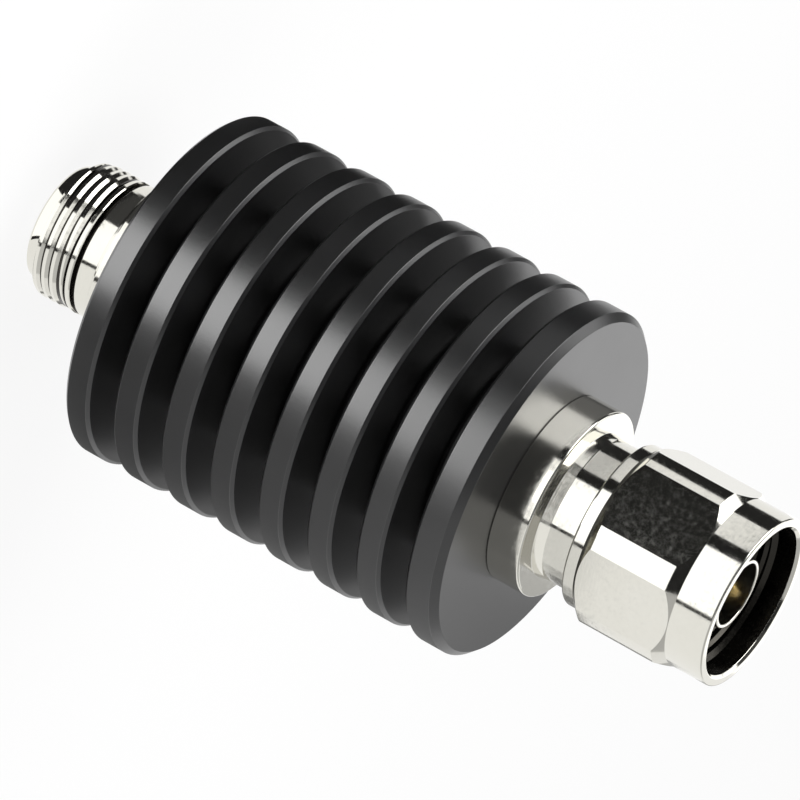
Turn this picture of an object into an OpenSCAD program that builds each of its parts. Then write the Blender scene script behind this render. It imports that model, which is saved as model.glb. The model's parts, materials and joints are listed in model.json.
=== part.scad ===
// Coaxial power attenuator: finned heat sink with a screwed-in jack and plug.
// It stands on the mouth of the jack, with the plug at the top and its axis along Z.

/* [Heat sink] */
// Diameter over the fins
fin_d = 40; // [36:0.5:60]
// Number of fins
fin_count = 8; // [6:1:12]
// Thickness of a fin
fin_t = 3.05; // [2:0.05:5]
// Thickness of the last fin, under the plug's flange
last_fin_t = 3.9; // [2:0.05:6]
// Width of the groove between two fins
groove_w = 3.13; // [2:0.01:6]
// Radius in the corners of a groove's floor
groove_r = 0.6; // [0.2:0.1:0.9]
// Diameter of the core at the grooves' floors
core_d = 24; // [22:0.5:30]
// Bevel along the fins' rims
rim_bevel = 0.35; // [0.1:0.05:0.8]
// Bevel along the last fin's outer edge
last_bevel = 0.6; // [0.1:0.05:1.5]

/* [Connector seats] */
// Diameter of the flange on each connector
flange_d = 21.5; // [19:0.25:24]
// Thickness of the jack's flange
jack_flange_t = 4.5; // [2:0.1:6]
// Thickness of the plug's flange
plug_flange_t = 4; // [2:0.1:6]
// Diameter of the screwed spigot behind each flange
spigot_d = 16; // [13:0.25:18]
// Length of the spigot inside the heat sink
spigot_len = 8; // [5:0.25:11]
// Bevel on the edges of turned brass
brass_bevel = 0.25; // [0.1:0.05:0.4]

/* [Coaxial line] */
// Diameter of the inner conductors
inner_d = 3.04; // [2.8:0.02:3.4]
// Bore of the outer conductor round them
outer_d = 7; // [6.4:0.1:7.4]
// Diameter of the insulating beads
bead_d = 10; // [8.5:0.1:11]
// Length of the insulating beads
bead_len = 5; // [3:0.1:8]
// Diameter of the inner conductors inside the beads
bead_neck_d = 2.4; // [2:0.05:2.7]

/* [Coupling thread] */
// Outside diameter of the coupling thread
thread_d = 15.875; // [15:0.025:17]
// Clearance round the thread inside the nut, on the radius
thread_clear = 0.08; // [0.05:0.01:0.2]

/* [Jack] */
// Diameter of the plain lip at the mouth
lip_d = 13.3; // [12:0.1:14.5]
// Length of the lip
lip_len = 1.3; // [1:0.1:3]
// Length of the lead-in cone onto the thread
lead_in = 0.6; // [0.3:0.1:1.5]
// Length of the thread, with its lead-in
jack_thread_len = 5.3; // [4:0.1:9]
// Diameter of the relief groove behind the thread
relief_d = 14.2; // [13:0.1:14.8]
// Width of the relief groove
relief_w = 0.6; // [0.3:0.1:1.5]
// Diameter of the plain collar behind the groove
collar_d = 15.7; // [15:0.1:17]
// Length of the collar
collar_len = 2.5; // [1:0.1:4]
// Diameter of the shoulder in front of the flange
shoulder_d = 18.6; // [17.25:0.1:19]
// Length of the shoulder
shoulder_len = 0.8; // [0.4:0.1:3]
// Bore that takes the mating outer contact
jack_bore_d = 8.3; // [8.1:0.05:9.5]
// Depth of that bore
jack_bore_len = 9.1; // [8:0.1:9.6]
// Bevel round the bore's mouth
jack_mouth_bevel = 0.5; // [0.2:0.1:1]
// Reach of the socket in front of the bore's floor
socket_reach = 4.75; // [3.5:0.05:6]
// Hole in the socket
socket_bore_d = 1.65; // [1.4:0.05:1.9]
// Depth of the socket's hole
socket_bore_len = 5.5; // [4.5:0.1:7]
// Width of the slots in the socket
socket_slot_w = 0.35; // [0.2:0.05:0.5]
// Depth of the slots
socket_slot_len = 4.2; // [3:0.1:5.5]

/* [Plug] */
// Diameter of the neck
neck_d = 16.4; // [14.75:0.1:18]
// Length of the neck, from the flange to the nut
neck_len = 4.3; // [2:0.1:8]
// Diameter of the journal that the nut turns on
journal_d = 13; // [12.5:0.1:13.6]
// Length of the journal
journal_len = 4.7; // [4.2:0.1:6]
// Outside diameter of the outer contact
sleeve_d = 8.03; // [7.75:0.01:8.3]
// Length of the outer contact inside the plug body
sleeve_press_len = 4; // [2:0.1:4.4]
// Depth of the outer contact's tip inside the nut's mouth
sleeve_recess = 1.9; // [0.5:0.1:3]
// Depth of the pin's shoulder inside the outer contact
pin_recess = 5.3; // [4.5:0.05:6.5]
// Diameter of the pin
pin_d = 1.6; // [1.3:0.05:1.9]
// Length of the pin
pin_len = 3; // [2:0.1:5]
// Length of the pin's pointed tip
pin_tip_len = 0.7; // [0.3:0.1:1.2]
// Outside diameter of the rubber gasket
gasket_d = 12.6; // [11:0.1:14]
// Thickness of the gasket
gasket_t = 1.8; // [1:0.1:2.4]

/* [Coupling nut] */
// Width over the nut's flats
nut_flats = 19.5; // [19.2:0.1:21]
// Diameter over the round lands between the flats
land_d = 21.1; // [20:0.1:23]
// Turn of the nut about its axis
nut_turn = 40.5; // [0:0.5:60]
// Diameter of the round ring at the nut's back
ring_d = 18.8; // [17.5:0.1:19]
// Length of the ring
ring_len = 1.4; // [0.8:0.1:3]
// Length of the hexagon, with its bevels
hex_len = 11.6; // [8:0.1:16]
// Length of the bevel at the back of the lands
hex_back_bevel = 1.22; // [0.6:0.02:2.5]
// Length of the bevel at the front of the lands
hex_front_bevel = 1.18; // [0.4:0.02:2.5]
// Diameter of the round rim in front of the hexagon
rim_d = 19.4; // [18.5:0.1:19.6]
// Length of the rim
rim_len = 4.5; // [3:0.1:7]
// Diameter of the nut's mouth
mouth_d = 17; // [16.4:0.1:17.6]
// Length of the plain mouth in front of the thread
mouth_len = 3; // [1:0.1:4]
// Bevel round the mouth's inner edge
mouth_bevel = 0.3; // [0.1:0.05:0.4]
// Thickness of the nut's back wall, which turns on the journal
nut_wall = 4.4; // [4.1:0.1:5]
// Diameter of the relief behind the nut's thread
nut_relief_d = 16.8; // [16.6:0.1:17.2]
// Length of the relief
nut_relief_len = 2.4; // [1:0.1:3]

/* [Snap ring] */
// Distance of the snap ring from the nut's back face
snap_inset = 1.8; // [1:0.1:2.4]
// Width of the snap ring's section along the axis
snap_w = 0.8; // [0.5:0.05:1.2]
// Reach of the ring's section to either side of the journal's surface
snap_reach = 0.45; // [0.3:0.05:0.8]
// Open angle of the ring
snap_open = 40; // [20:5:80]

/* [Attenuator chip] */
// Length of the chip along the axis
chip_len = 9; // [6:0.25:14]
// Width of the chip
chip_w = 7; // [4:0.25:7.5]
// Thickness of the chip
chip_t = 1; // [0.5:0.1:1.6]
// Diameter of the two half-round blocks that hold the chip
carrier_d = 14.4; // [13.6:0.1:15]
// Gap between the chip's ends and the inner conductors
tail_gap = 0.5; // [0.2:0.1:1.5]
// Length of the flat on each inner conductor's tail
tail_flat_len = 3; // [2.5:0.1:5]
// Width of the ribbons
tab_w = 1.6; // [1:0.1:2.4]
// Thickness of the ribbons
tab_t = 0.2; // [0.1:0.05:0.4]
// Length of ribbon on each tail
tab_on_tail = 2.2; // [1:0.1:2.4]
// Length of ribbon on the chip
tab_on_chip = 1.5; // [0.8:0.1:2.5]

/* [Carrier screws] */
// Diameter of the screws
screw_d = 1.6; // [1.2:0.1:2]
// Diameter of the screws' heads
screw_head_d = 2.8; // [2.2:0.1:3.1]
// Height of the heads
screw_head_h = 0.9; // [0.5:0.1:1.1]
// Reach of the screws into the carrier
screw_reach = 2.6; // [1.5:0.1:3]
// Distance of the screws from the carrier's ends
screw_inset = 5; // [3:0.25:8]

/* [Fits] */
// Gap round pieces that are screwed or pressed together, on the radius
seat_gap = 0.02; // [0.01:0.01:0.04]
// Running gap between the nut and the journal, on the radius
run_gap = 0.06; // [0.03:0.01:0.1]
// Play round the snap ring and behind the nut
snap_play = 0.12; // [0.08:0.01:0.2]

/* [Hidden] */
$fn = 96;
cut = 1;
screw_slot_share = 0.35;

// Heights along the axis, from the jack's mouth up to the nut's mouth
thread_z = lip_len;
relief_z = thread_z + jack_thread_len;
collar_z = relief_z + relief_w;
shoulder_z = collar_z + collar_len;
jack_flange_z = shoulder_z + shoulder_len;
sink_z = jack_flange_z + jack_flange_t;
fin_pitch = fin_t + groove_w;
sink_len = (fin_count - 1) * fin_pitch + last_fin_t;
plug_flange_z = sink_z + sink_len;
neck_z = plug_flange_z + plug_flange_t;
journal_z = neck_z + neck_len;
plug_face_z = journal_z + journal_len;
nut_z = journal_z + snap_play;
hex_z = nut_z + ring_len;
rim_z = hex_z + hex_len;
mouth_z = rim_z + rim_len;
sleeve_tip_z = mouth_z - sleeve_recess;
sleeve_z = plug_face_z - sleeve_press_len;
pin_shoulder_z = sleeve_tip_z - pin_recess;
socket_tip_z = jack_bore_len - socket_reach;

// Inside the heat sink: the carrier is clamped between the two spigots
carrier_z = sink_z + spigot_len;
carrier_len = sink_len - 2 * spigot_len;
carrier_top_z = carrier_z + carrier_len;
chip_z = carrier_z + (carrier_len - chip_len) / 2;
chip_top_z = chip_z + chip_len;
jack_tail_z = chip_z - tail_gap;
plug_tail_z = chip_top_z + tail_gap;
tab_len = tab_on_tail + tail_gap + tab_on_chip;

// Beads sit against the outer face of each flange, and bushings fill the rest of the spigots
jack_bushing_len = jack_flange_t + spigot_len - bead_len;
plug_bushing_len = plug_flange_t + spigot_len - bead_len;
bead_bore_r = bead_d / 2 + seat_gap;
plug_bead_z = neck_z - bead_len;

// Radii that follow from the diameters above
fin_r = fin_d / 2;
core_r = core_d / 2;
spigot_r = spigot_d / 2;
spigot_seat_r = spigot_r + seat_gap;
carrier_r = carrier_d / 2;
carrier_seat_r = carrier_r + seat_gap;
line_r = outer_d / 2;
sleeve_seat_r = sleeve_d / 2 + seat_gap;
journal_r = journal_d / 2;
nut_corner_r = nut_flats / sqrt(3);
snap_z = nut_z + snap_inset;
snap_top_z = snap_z + snap_w;

// Carrier screws stand midway between the line and the carrier's outside
screw_x = (line_r + carrier_r) / 2;
screw_head_x = screw_x + screw_head_d / 2;
screw_seat = sqrt(pow(carrier_r, 2) - pow(screw_head_x, 2)) - screw_head_h - seat_gap;
screw_heights = [carrier_z + screw_inset, carrier_top_z - screw_inset];

black = "#1d1d1f";
nickel = "#d9d7cd";
gold = "#d2a94e";
white = "#f4f3ee";
rubber = "#26262a";
ceramic = "#e9e6dc";
copper = "#c07a4c";
bright = "#c9cbcc";
steel = "#8d9196";

// A turned piece: an outline of [radius, height] points spun about the axis
module turned(outline) {
    rotate_extrude() polygon(outline);
}

// Half of a round bar: side 1 lies behind the chip's plane, side -1 in front of it
module half_round(radius, length, side) {
    linear_extrude(length) intersection() {
        circle(radius);
        translate([-radius, side > 0 ? 0 : -radius]) square([2 * radius, radius]);
    }
}

// Section of one groove between fins, flared at the rims and rounded at its floor
module groove_section(height) {
    floor_r = core_r + groove_r;
    rim_r = fin_r - rim_bevel;
    flare = rim_bevel + cut;
    top = height + groove_w;
    polygon([
        [floor_r, height], [rim_r, height], [fin_r + cut, height - flare],
        [fin_r + cut, top + flare], [rim_r, top], [floor_r, top]
    ]);
    translate([core_r, height + groove_r]) square([2 * groove_r, groove_w - 2 * groove_r]);
    for (y = [height + groove_r, top - groove_r]) translate([floor_r, y]) circle(groove_r);
}

// Heat sink: fins, core and a bore with a screwed seat at each end
module heatsink() {
    color(black) translate([0, 0, sink_z]) rotate_extrude() difference() {
        polygon([
            [spigot_seat_r, 0], [fin_r - rim_bevel, 0], [fin_r, rim_bevel],
            [fin_r, sink_len - last_bevel], [fin_r - last_bevel, sink_len],
            [spigot_seat_r, sink_len], [spigot_seat_r, sink_len - spigot_len],
            [carrier_seat_r, sink_len - spigot_len], [carrier_seat_r, spigot_len],
            [spigot_seat_r, spigot_len]
        ]);
        for (i = [0 : fin_count - 2]) groove_section(fin_t + i * fin_pitch);
    }
}

// Jack shell: lip, coupling thread, relief, collar, shoulder, flange and spigot
module jack_body() {
    bore_r = jack_bore_d / 2;
    lip_r = lip_d / 2;
    collar_r = collar_d / 2;
    shoulder_r = shoulder_d / 2;
    flange_r = flange_d / 2;
    color(nickel) turned([
        [bore_r + jack_mouth_bevel, 0], [lip_r - brass_bevel, 0], [lip_r, brass_bevel],
        [lip_r, thread_z], [thread_d / 2, thread_z + lead_in], [thread_d / 2, relief_z],
        [relief_d / 2, relief_z], [relief_d / 2, collar_z],
        [collar_r - brass_bevel, collar_z], [collar_r, collar_z + brass_bevel],
        [collar_r, shoulder_z], [shoulder_r - brass_bevel, shoulder_z],
        [shoulder_r, shoulder_z + brass_bevel], [shoulder_r, jack_flange_z],
        [flange_r - brass_bevel, jack_flange_z], [flange_r, jack_flange_z + brass_bevel],
        [flange_r, sink_z], [spigot_r, sink_z], [spigot_r, carrier_z - brass_bevel],
        [spigot_r - brass_bevel, carrier_z], [bead_bore_r, carrier_z],
        [bead_bore_r, jack_flange_z], [line_r, jack_flange_z], [line_r, jack_bore_len],
        [bore_r, jack_bore_len], [bore_r, jack_mouth_bevel]
    ]);
}

// Insulating bead, clasping the neck of an inner conductor
module bead(height) {
    translate([0, 0, height]) turned([
        [bead_neck_d / 2 + seat_gap, 0], [bead_d / 2, 0],
        [bead_d / 2, bead_len], [bead_neck_d / 2 + seat_gap, bead_len]
    ]);
}

// Bushing pressed in behind a bead, with the line's bore through it
module bushing(height, length) {
    translate([0, 0, height]) turned([
        [line_r, 0], [bead_d / 2, 0], [bead_d / 2, length], [line_r, length]
    ]);
}

// Flat on the tail of an inner conductor, in front of the chip's plane
module tail_flat(height) {
    translate([-inner_d, -2 * inner_d, height]) cube([2 * inner_d, 2 * inner_d, tail_flat_len + cut]);
}

// Ribbon soldered on a tail's flat and on the chip
module tab(height) {
    translate([-tab_w / 2, -tab_t, height]) cube([tab_w, tab_t, tab_len]);
}

module jack_insulator() {
    color(white) bead(jack_flange_z);
}

module jack_bushing() {
    color(nickel) bushing(carrier_z - jack_bushing_len, jack_bushing_len);
}

// Jack's inner conductor: slotted socket, neck in the bead and tail with its flat
module jack_socket() {
    inner_r = inner_d / 2;
    hole_r = socket_bore_d / 2;
    neck_r = bead_neck_d / 2;
    bead_end_z = jack_flange_z + bead_len;
    color(gold) difference() {
        turned([
            [0, socket_tip_z + socket_bore_len], [hole_r, socket_tip_z + socket_bore_len],
            [hole_r, socket_tip_z], [inner_r, socket_tip_z], [inner_r, jack_flange_z],
            [neck_r, jack_flange_z], [neck_r, bead_end_z], [inner_r, bead_end_z],
            [inner_r, jack_tail_z], [0, jack_tail_z]
        ]);
        for (turn = [45, 135])
            rotate([0, 0, turn]) translate([-inner_d, -socket_slot_w / 2, socket_tip_z - cut])
                cube([2 * inner_d, socket_slot_w, socket_slot_len + cut]);
        tail_flat(jack_tail_z - tail_flat_len);
    }
}

module jack_tab() {
    color(bright) tab(jack_tail_z - tab_on_tail);
}

// Plug shell: spigot, flange, neck, grooved journal and the outer contact's seat
module plug_body() {
    flange_r = flange_d / 2;
    neck_r = neck_d / 2;
    groove_floor_r = journal_r - snap_reach - snap_play;
    color(nickel) turned([
        [bead_bore_r, carrier_top_z], [spigot_r - brass_bevel, carrier_top_z],
        [spigot_r, carrier_top_z + brass_bevel], [spigot_r, plug_flange_z],
        [flange_r, plug_flange_z], [flange_r, neck_z - brass_bevel], [flange_r - brass_bevel, neck_z],
        [neck_r, neck_z], [neck_r, journal_z - brass_bevel], [neck_r - brass_bevel, journal_z],
        [journal_r, journal_z], [journal_r, snap_z - snap_play],
        [groove_floor_r, snap_z - snap_play], [groove_floor_r, snap_top_z + snap_play],
        [journal_r, snap_top_z + snap_play], [journal_r, plug_face_z - brass_bevel],
        [journal_r - brass_bevel, plug_face_z], [sleeve_seat_r, plug_face_z],
        [sleeve_seat_r, sleeve_z], [line_r, sleeve_z], [line_r, neck_z], [bead_bore_r, neck_z]
    ]);
}

// Outer contact: thin sleeve with a bevelled tip
module plug_outer_contact() {
    sleeve_r = sleeve_d / 2;
    tip_bevel = (sleeve_r - line_r) / 3;
    color(nickel) turned([
        [line_r, sleeve_z], [sleeve_r, sleeve_z], [sleeve_r, sleeve_tip_z - tip_bevel],
        [sleeve_r - tip_bevel, sleeve_tip_z], [line_r + tip_bevel, sleeve_tip_z],
        [line_r, sleeve_tip_z - tip_bevel]
    ]);
}

module plug_insulator() {
    color(white) bead(plug_bead_z);
}

module plug_bushing() {
    color(nickel) bushing(carrier_top_z, plug_bushing_len);
}

// Plug's inner conductor: tail with its flat, neck in the bead and stepped pin
module plug_pin() {
    inner_r = inner_d / 2;
    neck_r = bead_neck_d / 2;
    pin_r = pin_d / 2;
    tip_z = pin_shoulder_z + pin_len;
    color(gold) difference() {
        turned([
            [0, plug_tail_z], [inner_r, plug_tail_z], [inner_r, plug_bead_z],
            [neck_r, plug_bead_z], [neck_r, neck_z], [inner_r, neck_z],
            [inner_r, pin_shoulder_z], [pin_r, pin_shoulder_z],
            [pin_r, tip_z - pin_tip_len], [pin_r / 2, tip_z], [0, tip_z]
        ]);
        tail_flat(plug_tail_z - cut);
    }
}

module plug_tab() {
    color(bright) tab(chip_top_z - tab_on_chip);
}

// Gasket round the foot of the outer contact
module plug_gasket() {
    color(rubber) translate([0, 0, plug_face_z]) turned([
        [sleeve_seat_r, 0], [gasket_d / 2, 0], [gasket_d / 2, gasket_t], [sleeve_seat_r, gasket_t]
    ]);
}

// Nut's hexagon: a round bar with bevelled ends, milled to six flats that leave round lands
module nut_hexagon() {
    ring_r = ring_d / 2;
    rim_r = rim_d / 2;
    land_r = land_d / 2;
    intersection() {
        translate([0, 0, hex_z]) rotate([0, 0, nut_turn]) cylinder(h = hex_len, r = nut_corner_r, $fn = 6);
        turned([
            [0, hex_z], [ring_r, hex_z], [land_r, hex_z + hex_back_bevel],
            [land_r, rim_z - hex_front_bevel], [rim_r, rim_z], [0, rim_z]
        ]);
    }
}

// Coupling nut: back ring, hexagon and rim, bored for the journal, snap ring, thread and mouth
module coupling_nut() {
    ring_r = ring_d / 2;
    rim_r = rim_d / 2;
    bore_r = journal_r + run_gap;
    groove_floor_r = journal_r + snap_reach + snap_play;
    relief_r = nut_relief_d / 2;
    thread_r = thread_d / 2 + thread_clear;
    mouth_r = mouth_d / 2;
    wall_z = nut_z + nut_wall;
    thread_start_z = wall_z + nut_relief_len;
    mouth_start_z = mouth_z - mouth_len;
    hex_middle_z = hex_z + hex_len / 2;
    color(nickel) difference() {
        union() {
            turned([
                [0, nut_z], [ring_r - brass_bevel, nut_z], [ring_r, nut_z + brass_bevel],
                [ring_r, hex_middle_z], [rim_r, hex_middle_z], [rim_r, mouth_z - brass_bevel],
                [rim_r - brass_bevel, mouth_z], [0, mouth_z]
            ]);
            nut_hexagon();
        }
        turned([
            [0, nut_z - cut], [bore_r, nut_z - cut], [bore_r, snap_z - snap_play],
            [groove_floor_r, snap_z - snap_play], [groove_floor_r, snap_top_z + snap_play],
            [bore_r, snap_top_z + snap_play], [bore_r, wall_z], [relief_r, wall_z],
            [relief_r, thread_start_z - (relief_r - thread_r)], [thread_r, thread_start_z],
            [thread_r, mouth_start_z], [mouth_r, mouth_start_z + (mouth_r - thread_r)],
            [mouth_r, mouth_z - mouth_bevel], [mouth_r + mouth_bevel + cut, mouth_z + cut],
            [0, mouth_z + cut]
        ]);
    }
}

// Open spring ring that sits in the journal's groove and reaches into the nut's groove
module nut_snap_ring() {
    color(steel) rotate([0, 0, snap_open / 2]) rotate_extrude(angle = 360 - snap_open)
        translate([journal_r - snap_reach, snap_z]) square([2 * snap_reach, snap_w]);
}

// Half-round block under the chip, with a pocket for it and a channel at each end
module chip_carrier() {
    pocket_w = chip_w + 2 * seat_gap;
    pocket_len = chip_len + 2 * seat_gap;
    color(copper) difference() {
        translate([0, 0, carrier_z]) half_round(carrier_r, carrier_len, 1);
        translate([0, 0, carrier_z - cut]) cylinder(h = chip_z - carrier_z + cut, r = line_r);
        translate([0, 0, chip_top_z]) cylinder(h = carrier_top_z - chip_top_z + cut, r = line_r);
        translate([-pocket_w / 2, -cut, chip_z - seat_gap]) cube([pocket_w, chip_t + cut, pocket_len]);
        at_screws() translate([0, 0, -cut])
            cylinder(h = screw_reach + seat_gap + cut, r = screw_d / 2 + seat_gap, $fn = 24);
    }
}

// Half-round block over the chip, with the line's channel right through it
module carrier_cover() {
    color(copper) difference() {
        translate([0, 0, carrier_z]) half_round(carrier_r, carrier_len, -1);
        translate([0, 0, carrier_z - cut]) cylinder(h = carrier_len + 2 * cut, r = line_r);
        at_screws() {
            translate([0, 0, -carrier_r]) cylinder(h = 2 * carrier_r, r = screw_d / 2 + seat_gap, $fn = 24);
            translate([0, 0, -screw_seat - carrier_r])
                cylinder(h = carrier_r, r = screw_head_d / 2 + seat_gap, $fn = 24);
        }
    }
}

module attenuator_chip() {
    color(ceramic) translate([-chip_w / 2, 0, chip_z]) cube([chip_w, chip_t, chip_len]);
}

// Four places on the chip's plane, with local Z pointing into the carrier
module at_screws() {
    for (x = [-screw_x, screw_x], z = screw_heights) translate([x, 0, z]) rotate([-90, 0, 0]) children();
}

// Slotted screws, heads sunk in the cover
module carrier_screws() {
    slot_w = screw_head_d / 8;
    slot_h = screw_head_h * screw_slot_share;
    color(steel) at_screws() difference() {
        union() {
            translate([0, 0, -screw_seat]) cylinder(h = screw_seat + screw_reach, r = screw_d / 2, $fn = 24);
            translate([0, 0, -screw_seat - screw_head_h]) cylinder(h = screw_head_h, r = screw_head_d / 2, $fn = 24);
        }
        translate([-screw_head_d, -slot_w / 2, -screw_seat - screw_head_h - cut])
            cube([2 * screw_head_d, slot_w, slot_h + cut]);
    }
}

heatsink();
jack_body();
jack_insulator();
jack_bushing();
jack_socket();
jack_tab();
plug_body();
plug_outer_contact();
plug_insulator();
plug_bushing();
plug_pin();
plug_tab();
plug_gasket();
coupling_nut();
nut_snap_ring();
chip_carrier();
carrier_cover();
attenuator_chip();
carrier_screws();
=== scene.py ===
# %% [markdown]
# # A coaxial power attenuator, from the frame to the picture
#
# The part is a black finned heat sink with a threaded jack at its foot and a plug with a loose
# coupling nut on top. The solids already exist at their real size, so this lesson only dresses
# them: finely turned meshes for what shows, real threads, finishes and a small studio.

# %% Load the frame and read its sizes
import json
import math

import bpy
from mathutils import Matrix, Vector


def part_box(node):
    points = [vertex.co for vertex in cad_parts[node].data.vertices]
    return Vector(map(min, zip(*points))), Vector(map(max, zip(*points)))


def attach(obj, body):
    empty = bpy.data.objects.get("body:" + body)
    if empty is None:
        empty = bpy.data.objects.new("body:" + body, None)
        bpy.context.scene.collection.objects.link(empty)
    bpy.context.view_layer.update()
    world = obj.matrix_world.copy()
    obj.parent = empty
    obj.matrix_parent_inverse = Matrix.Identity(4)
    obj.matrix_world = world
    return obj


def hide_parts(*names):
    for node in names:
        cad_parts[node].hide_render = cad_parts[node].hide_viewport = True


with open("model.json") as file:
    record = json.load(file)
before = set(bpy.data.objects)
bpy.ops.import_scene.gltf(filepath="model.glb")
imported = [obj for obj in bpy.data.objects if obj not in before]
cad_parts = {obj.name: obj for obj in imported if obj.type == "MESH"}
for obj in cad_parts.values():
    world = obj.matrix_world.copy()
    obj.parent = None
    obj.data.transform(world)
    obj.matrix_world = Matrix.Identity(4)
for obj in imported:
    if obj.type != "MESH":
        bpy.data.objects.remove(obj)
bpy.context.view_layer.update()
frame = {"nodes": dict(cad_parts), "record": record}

MM = 0.001


def heights(node):
    """Lowest and highest point of a CAD node along the axis, in millimetres."""
    low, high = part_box(node)
    return low[2] / MM, high[2] / MM


def outer_radius(node):
    """Largest radius of a round CAD node, in millimetres."""
    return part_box(node)[1][0] / MM


sink_low, sink_high = heights("heatsink")
jack_mouth, jack_end = heights("jack_body")
plug_end, plug_face = heights("plug_body")
nut_back, nut_mouth = heights("coupling_nut")
sleeve_end, sleeve_tip = heights("plug_outer_contact")
fin_radius = outer_radius("heatsink")
flange_radius = outer_radius("jack_body")
bead_radius = outer_radius("jack_insulator")
sleeve_radius = outer_radius("plug_outer_contact")
print(f"heat sink {sink_low:.2f} to {sink_high:.2f} mm, fins {2 * fin_radius:.1f} mm across")

# %% [markdown]
# ## The camera
#
# The picture was taken from far away with a long lens, looking at the plug end. The object's axis
# leans across the frame, so the camera is rolled about its own line of sight. A roll can be made
# with nested empties, but three direction vectors in one matrix are easier to check.

# %% Place the camera
PHOTO_SIZE = 800
SENSOR = 36.0
FOCAL_PIXELS = 7871.2
VIEW_TILT = math.radians(20.65)
VIEW_ROLL = math.radians(28.895)
FOOT_DISTANCE = 833.1
FOOT_PIXEL = (177.0, 284.6)
CLIP_RANGE = (0.01, 20.0)


def placed(name, data):
    """New object with this data, linked to the scene."""
    made = bpy.data.objects.new(name, data)
    bpy.context.scene.collection.objects.link(made)
    return made


def photo_camera():
    """Camera that sees the foot of the heat sink at its pixel of the photograph."""
    sin_tilt, cos_tilt = math.sin(VIEW_TILT), math.cos(VIEW_TILT)
    sin_roll, cos_roll = math.sin(VIEW_ROLL), math.cos(VIEW_ROLL)
    right = Vector((-sin_roll, sin_tilt * cos_roll, cos_tilt * cos_roll))
    down = Vector((cos_roll, sin_tilt * sin_roll, cos_tilt * sin_roll))
    ahead = Vector((0.0, cos_tilt, -sin_tilt))
    across = (FOOT_PIXEL[0] - PHOTO_SIZE / 2) / FOCAL_PIXELS
    below = (FOOT_PIXEL[1] - PHOTO_SIZE / 2) / FOCAL_PIXELS
    foot = Vector((0.0, 0.0, sink_low))
    place = (foot - FOOT_DISTANCE * (ahead + across * right + below * down)) * MM
    data = bpy.data.cameras.new("photo_camera")
    data.sensor_width = SENSOR
    data.lens = SENSOR * FOCAL_PIXELS / PHOTO_SIZE
    data.clip_start, data.clip_end = CLIP_RANGE
    made = placed("photo_camera", data)
    turn = Matrix((right, -down, -ahead)).transposed()
    made.matrix_world = Matrix.Translation(place) @ turn.to_4x4()
    return made


camera = photo_camera()
bpy.context.scene.camera = camera
print("camera at", [round(v, 3) for v in camera.matrix_world.translation])

# %% [markdown]
# ## Node trees as Python sums
#
# Materials and Geometry Nodes are both trees of nodes and links. One small class wraps a socket:
# sums and products of sockets add Math nodes, and every other node comes from one method that
# takes the node's type, its settings and the values or links of its inputs.

# %% A socket that knows its tree
class Wire:
    """An output socket of a node tree, with arithmetic that adds Math nodes to that tree."""

    def __init__(self, tree, socket):
        self.tree = tree
        self.socket = socket

    def node(self, kind, settings=None, inputs=None, output=0):
        """Adds a node: its settings first, then the values or wires of its inputs."""
        made = self.tree.nodes.new(kind)
        for name, value in (settings or {}).items():
            setattr(made, name, value)
        for name, value in (inputs or {}).items():
            if isinstance(value, Wire):
                self.tree.links.new(value.socket, made.inputs[name])
            else:
                made.inputs[name].default_value = value
        return Wire(self.tree, made.outputs[output]) if made.outputs else None

    def math(self, operation, *values):
        """One Math node on this tree."""
        return self.node("ShaderNodeMath", {"operation": operation}, dict(enumerate(values)))

    def __add__(self, other):
        return self.math("ADD", self, other)

    __radd__ = __add__

    def __sub__(self, other):
        return self.math("SUBTRACT", self, other)

    def __rsub__(self, other):
        return self.math("SUBTRACT", other, self)

    def __mul__(self, other):
        return self.math("MULTIPLY", self, other)

    __rmul__ = __mul__

    def __truediv__(self, other):
        return self.math("DIVIDE", self, other)

    def __rtruediv__(self, other):
        return self.math("DIVIDE", other, self)


def on_tree(tree):
    """A wire with no socket yet, for the first node of a tree."""
    return Wire(tree, None)


print("wires ready:", [name for name in vars(Wire) if not name.startswith("__")])

# %% [markdown]
# ## Turning outlines on a lathe
#
# Nearly every piece here came off a lathe, so its mesh is an outline of (radius, height) points
# swept round the axis. Blender's Screw modifier could do that, but a Geometry Nodes tree can also
# repeat a stretch of outline before the sweep, which is how the fins are cut. Corners get a small
# radius first, because a real edge is never perfectly sharp and its highlight is what the eye sees.
# A point close to each end of an arc keeps smooth shading from bending the straight walls.

# %% Round the corners of an outline
ARC_STEP = math.radians(15)
HOLD = 0.02


def rounded(points):
    """Outline with arcs: a point is (radius, height) or (radius, height, corner radius)."""
    corners = [Vector(point[:2]) for point in points]
    outline = []
    for index, point in enumerate(points):
        here = corners[index]
        if len(point) < 3:
            outline.append(here)
            continue
        back = (corners[index - 1] - here).normalized()
        ahead = (corners[(index + 1) % len(points)] - here).normalized()
        opening = back.angle(ahead)
        reach = point[2] / math.tan(opening / 2)
        centre = here + (back + ahead).normalized() * (point[2] / math.sin(opening / 2))
        first = here + back * reach - centre
        last = here + ahead * reach - centre
        steps = max(2, math.ceil((math.pi - opening) / ARC_STEP))
        turn = first.angle_signed(last)
        outline.append(centre + first + back * HOLD)
        for step in range(steps + 1):
            angle = -turn * step / steps
            outline.append(centre + Matrix.Rotation(angle, 2) @ first)
        outline.append(centre + last + ahead * HOLD)
    return outline


SQUARE = [(1, 0, 0.2), (2, 0, 0.2), (2, 1, 0.2), (1, 1, 0.2)]
print("a rounded square has", len(rounded(SQUARE)), "points")

# %% [markdown]
# A Geometry Nodes tree is a recipe with named inputs, so one tree serves many pieces. All trees here
# end alike: the shape is shaded smooth apart from edges sharper than the crease angle, made real and
# given its material. The shading could be set on each mesh later, but this way no piece misses it.

# %% Start and end a tree
CREASE = math.radians(19)


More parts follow.
